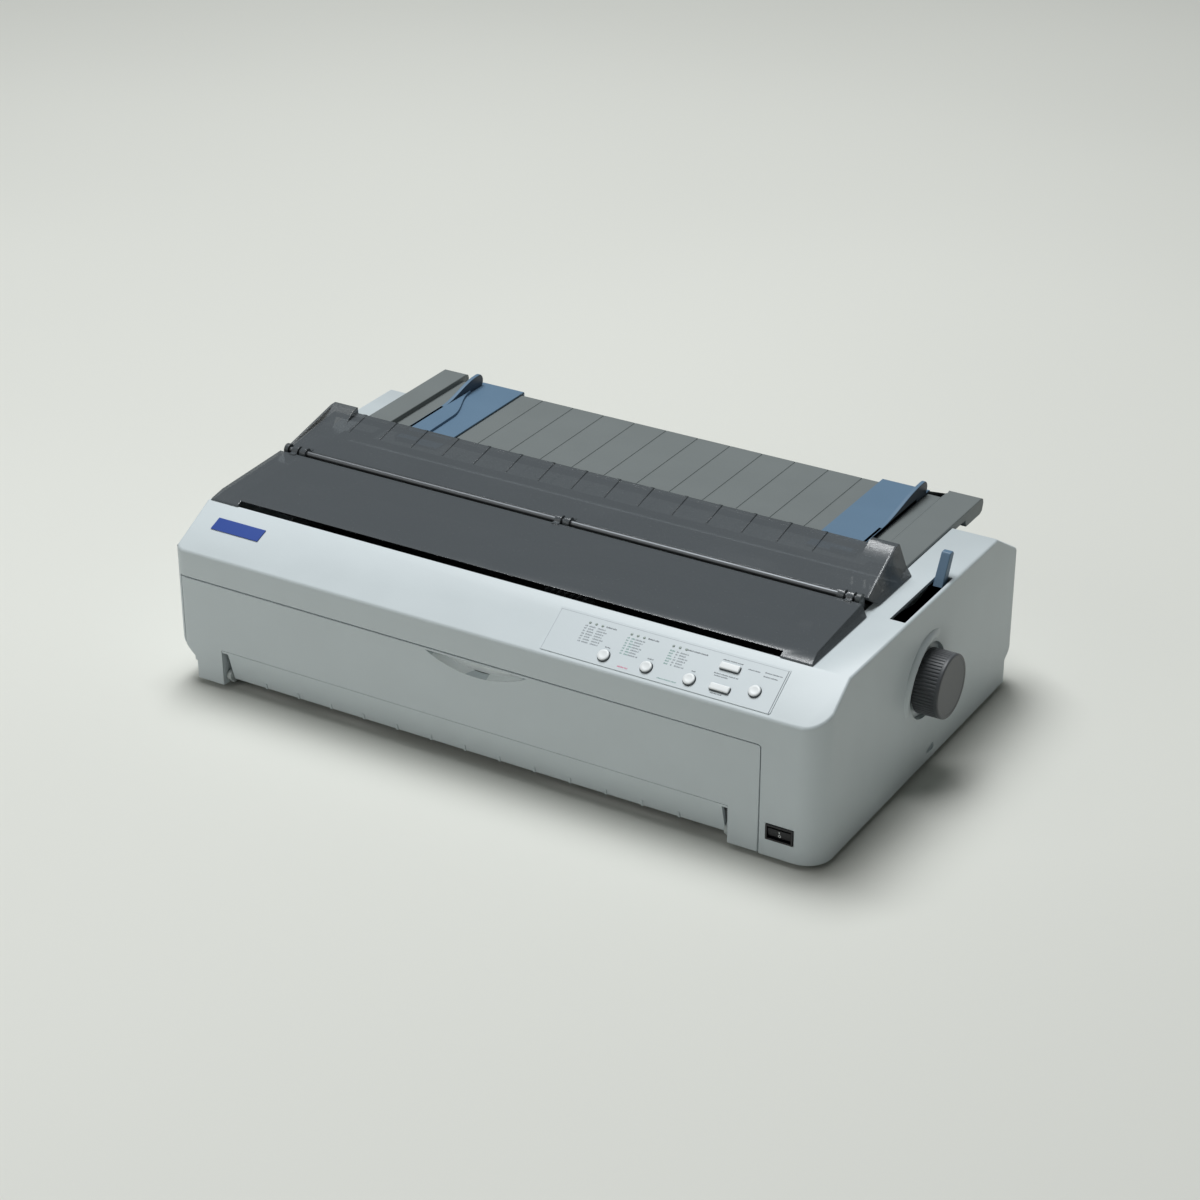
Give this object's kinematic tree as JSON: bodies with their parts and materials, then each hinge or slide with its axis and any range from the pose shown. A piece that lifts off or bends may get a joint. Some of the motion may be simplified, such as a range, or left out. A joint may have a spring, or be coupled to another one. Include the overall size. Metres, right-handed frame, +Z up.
{
  "type": "dot matrix printer",
  "caption": "Wide-carriage impact printer with hinged front cover, smoked printer cover, folding sheet guide, tractors and a side paper feed knob.",
  "frame": {"origin": "middle of the footprint of the whole printer, on the plane of the feet", "axes": "+X to the right seen from the front, +Y to the back, +Z up"},
  "size_m": [0.628, 0.378, 0.179],
  "materials": {
    "housing_plastic": "fine moulded texture, pale grey",
    "case_plastic": "fine moulded texture, grey",
    "foot_rubber": "matt black rubber",
    "smoked_plastic": "smoked clear plastic",
    "bright_steel": "bright drawn steel",
    "tray_plastic": "fine moulded texture, mid grey",
    "blue_plastic": "fine moulded texture, slate blue",
    "overlay_film": "satin printed film",
    "light_pipe": "clear light pipe",
    "plate_blue": "bare blue plate",
    "black_plastic": "black moulded plastic",
    "knob_plastic": "dark grey moulded plastic",
    "platen_rubber": "ground black rubber",
    "gear_plastic": "natural acetal",
    "motor_steel": "dark plated steel",
    "frame_steel": "zinc plated sheet steel",
    "head_aluminium": "cast aluminium fins",
    "cartridge_plastic": "black moulded plastic",
    "board_green": "solder resist",
    "board_brown": "phenolic board",
    "button_white": "satin white plastic"
  },
  "bodies": {
    "housing": {"lower_case": "case_plastic", "upper_housing": "housing_plastic", "rubber_feet": "foot_rubber", "cover_hinge_rod": "bright_steel", "control_panel": "overlay_film", "indicator_lights": "light_pipe", "name_plate": "plate_blue", "switch_bezel": "black_plastic", "feed_motor": "motor_steel", "frame_left": "frame_steel", "frame_right": "frame_steel", "carriage_rod": "bright_steel", "carriage_rail": "frame_steel", "ribbon_cartridge": "cartridge_plastic", "timing_belt": "platen_rubber", "carriage_motor": "motor_steel", "tractor_support_shaft": "bright_steel", "front_paper_guide": "tray_plastic", "main_board": "board_green", "power_board": "board_brown", "transformer": "motor_steel", "fan_frame": "black_plastic", "mains_inlet": "black_plastic", "parallel_port": "bright_steel", "usb_port": "bright_steel", "option_cover": "housing_plastic", "panel_board": "board_green"},
    "front_cover": {"front_cover": "housing_plastic"},
    "printer_cover": {"printer_cover": "smoked_plastic"},
    "sheet_guide_cover": {"sheet_guide_cover": "smoked_plastic"},
    "sheet_guide": {"sheet_guide": "tray_plastic"},
    "edge_guide_left": {"edge_guide_left": "blue_plastic"},
    "edge_guide_right": {"edge_guide_right": "blue_plastic"},
    "round_button_1": {"round_button_1": "button_white"},
    "round_button_2": {"round_button_2": "button_white"},
    "round_button_3": {"round_button_3": "button_white"},
    "round_button_4": {"round_button_4": "button_white"},
    "bar_button_1": {"bar_button_1": "button_white"},
    "bar_button_2": {"bar_button_2": "button_white"},
    "switch_rocker": {"switch_rocker": "black_plastic"},
    "paper_feed": {"paper_feed_knob": "knob_plastic", "platen_roller": "platen_rubber", "platen_shaft": "bright_steel", "platen_gear": "gear_plastic"},
    "idler_gear_1": {"idler_gear_1": "gear_plastic"},
    "idler_gear_2": {"idler_gear_2": "gear_plastic"},
    "tractor_drive": {"tractor_drive_shaft": "bright_steel", "tractor_gear": "gear_plastic"},
    "feed_pinion": {"feed_pinion": "gear_plastic"},
    "carriage": {"carriage": "black_plastic", "print_head": "head_aluminium"},
    "drive_pulley": {"drive_pulley": "gear_plastic"},
    "idle_pulley": {"idle_pulley": "gear_plastic"},
    "ribbon_knob": {"ribbon_knob": "case_plastic"},
    "tractor_left": {"tractor_left": "tray_plastic"},
    "tractor_right": {"tractor_right": "tray_plastic"},
    "tractor_flap_left": {"tractor_flap_left": "blue_plastic"},
    "tractor_flap_right": {"tractor_flap_right": "blue_plastic"},
    "fan_rotor": {"fan_rotor": "black_plastic"},
    "release_lever": {"release_lever": "blue_plastic"}
  },
  "joints": [
    {"name": "front_cover_hinge", "type": "hinge", "parent": "housing", "child": "front_cover", "pos_m": [-0.009, -0.18, 0.012], "axis": [1, 0, 0], "range_deg": [0, 80]},
    {"name": "printer_cover_hinge", "type": "hinge", "parent": "housing", "child": "printer_cover", "pos_m": [-0.009, -0.046, 0.161], "axis": [-1, 0, 0], "range_deg": [0, 80]},
    {"name": "sheet_guide_cover_hinge", "type": "hinge", "parent": "housing", "child": "sheet_guide_cover", "pos_m": [-0.009, -0.046, 0.161], "axis": [1, 0, 0], "range_deg": [0, 75]},
    {"name": "sheet_guide_hinge", "type": "hinge", "parent": "housing", "child": "sheet_guide", "pos_m": [-0.009, 0.036, 0.144], "axis": [1, 0, 0], "range_deg": [0, 45]},
    {"name": "edge_guide_left_slide", "type": "slide", "parent": "sheet_guide", "child": "edge_guide_left", "axis": [1, 0, 0], "range_m": [-0.015, 0.1]},
    {"name": "edge_guide_right_slide", "type": "slide", "parent": "sheet_guide", "child": "edge_guide_right", "axis": [-1, 0, 0], "range_m": [-0.011, 0.2]},
    {"name": "round_button_1_press", "type": "slide", "parent": "housing", "child": "round_button_1", "axis": [0, 0.5272, -0.8497], "range_m": [0, 0.001], "stiffness_N_per_m": 500, "springref_m": -0.0008},
    {"name": "round_button_2_press", "type": "slide", "parent": "housing", "child": "round_button_2", "axis": [0, 0.5272, -0.8497], "range_m": [0, 0.001], "stiffness_N_per_m": 500, "springref_m": -0.0008},
    {"name": "round_button_3_press", "type": "slide", "parent": "housing", "child": "round_button_3", "axis": [0, 0.5272, -0.8497], "range_m": [0, 0.001], "stiffness_N_per_m": 500, "springref_m": -0.0008},
    {"name": "round_button_4_press", "type": "slide", "parent": "housing", "child": "round_button_4", "axis": [0, 0.5272, -0.8497], "range_m": [0, 0.001], "stiffness_N_per_m": 500, "springref_m": -0.0008},
    {"name": "bar_button_1_press", "type": "slide", "parent": "housing", "child": "bar_button_1", "axis": [0, 0.5272, -0.8497], "range_m": [0, 0.001], "stiffness_N_per_m": 500, "springref_m": -0.0008},
    {"name": "bar_button_2_press", "type": "slide", "parent": "housing", "child": "bar_button_2", "axis": [0, 0.5272, -0.8497], "range_m": [0, 0.001], "stiffness_N_per_m": 500, "springref_m": -0.0008},
    {"name": "switch_rocker_tilt", "type": "hinge", "parent": "housing", "child": "switch_rocker", "pos_m": [0.2585, -0.183, 0.026], "axis": [-1, 0, 0], "range_deg": [0, 14]},
    {"name": "paper_feed_turn", "type": "hinge", "parent": "housing", "child": "paper_feed", "pos_m": [-0.009, -0.005, 0.082], "axis": [1, 0, 0], "continuous": true},
    {"name": "idler_gear_1_turn", "type": "hinge", "parent": "housing", "child": "idler_gear_1", "pos_m": [0.239, -0.05129, 0.07384], "axis": [1, 0, 0], "continuous": true},
    {"name": "idler_gear_2_turn", "type": "hinge", "parent": "housing", "child": "idler_gear_2", "pos_m": [0.239, -0.10053, 0.06516], "axis": [1, 0, 0], "continuous": true},
    {"name": "tractor_drive_turn", "type": "hinge", "parent": "housing", "child": "tractor_drive", "pos_m": [0.239, -0.13696, 0.05873], "axis": [1, 0, 0], "continuous": true},
    {"name": "feed_pinion_turn", "type": "hinge", "parent": "housing", "child": "feed_pinion", "pos_m": [0.239, 0.009, 0.05775], "axis": [1, 0, 0], "continuous": true},
    {"name": "carriage_slide", "type": "slide", "parent": "housing", "child": "carriage", "axis": [1, 0, 0], "range_m": [-0.195, 0.175]},
    {"name": "drive_pulley_turn", "type": "hinge", "parent": "housing", "child": "drive_pulley", "pos_m": [0.208, -0.094, 0.05], "axis": [0, 0, 1], "continuous": true},
    {"name": "idle_pulley_turn", "type": "hinge", "parent": "housing", "child": "idle_pulley", "pos_m": [-0.244, -0.094, 0.05], "axis": [0, 0, 1], "continuous": true},
    {"name": "ribbon_knob_turn", "type": "hinge", "parent": "housing", "child": "ribbon_knob", "pos_m": [-0.261, -0.068, 0.13], "axis": [0, 0, 1], "continuous": true},
    {"name": "tractor_left_slide", "type": "slide", "parent": "housing", "child": "tractor_left", "axis": [1, 0, 0], "range_m": [-0.02, 0.06]},
    {"name": "tractor_right_slide", "type": "slide", "parent": "housing", "child": "tractor_right", "axis": [-1, 0, 0], "range_m": [-0.02, 0.12]},
    {"name": "tractor_flap_left_hinge", "type": "hinge", "parent": "tractor_left", "child": "tractor_flap_left", "pos_m": [-0.2105, -0.148, 0.07323], "axis": [0, -1, 0], "range_deg": [0, 100]},
    {"name": "tractor_flap_right_hinge", "type": "hinge", "parent": "tractor_right", "child": "tractor_flap_right", "pos_m": [0.1725, -0.148, 0.07323], "axis": [0, 1, 0], "range_deg": [0, 100]},
    {"name": "fan_rotor_turn", "type": "hinge", "parent": "housing", "child": "fan_rotor", "pos_m": [0.153, 0.162, 0.072], "axis": [0, 1, 0], "continuous": true},
    {"name": "release_lever_swing", "type": "hinge", "parent": "housing", "child": "release_lever", "pos_m": [0.282, 0, 0.105], "axis": [1, 0, 0], "range_deg": [0, 70]}
  ],
  "couplings": [
    {"joint": "idler_gear_1_turn", "follows": "paper_feed_turn", "ratio": -0.88},
    {"joint": "idler_gear_2_turn", "follows": "paper_feed_turn", "ratio": 0.88},
    {"joint": "tractor_drive_turn", "follows": "paper_feed_turn", "ratio": -1.8333},
    {"joint": "feed_pinion_turn", "follows": "paper_feed_turn", "ratio": -3.6667},
    {"joint": "drive_pulley_turn", "follows": "carriage_slide", "rad_per_m": 112.99},
    {"joint": "idle_pulley_turn", "follows": "carriage_slide", "rad_per_m": 112.99}
  ]
}
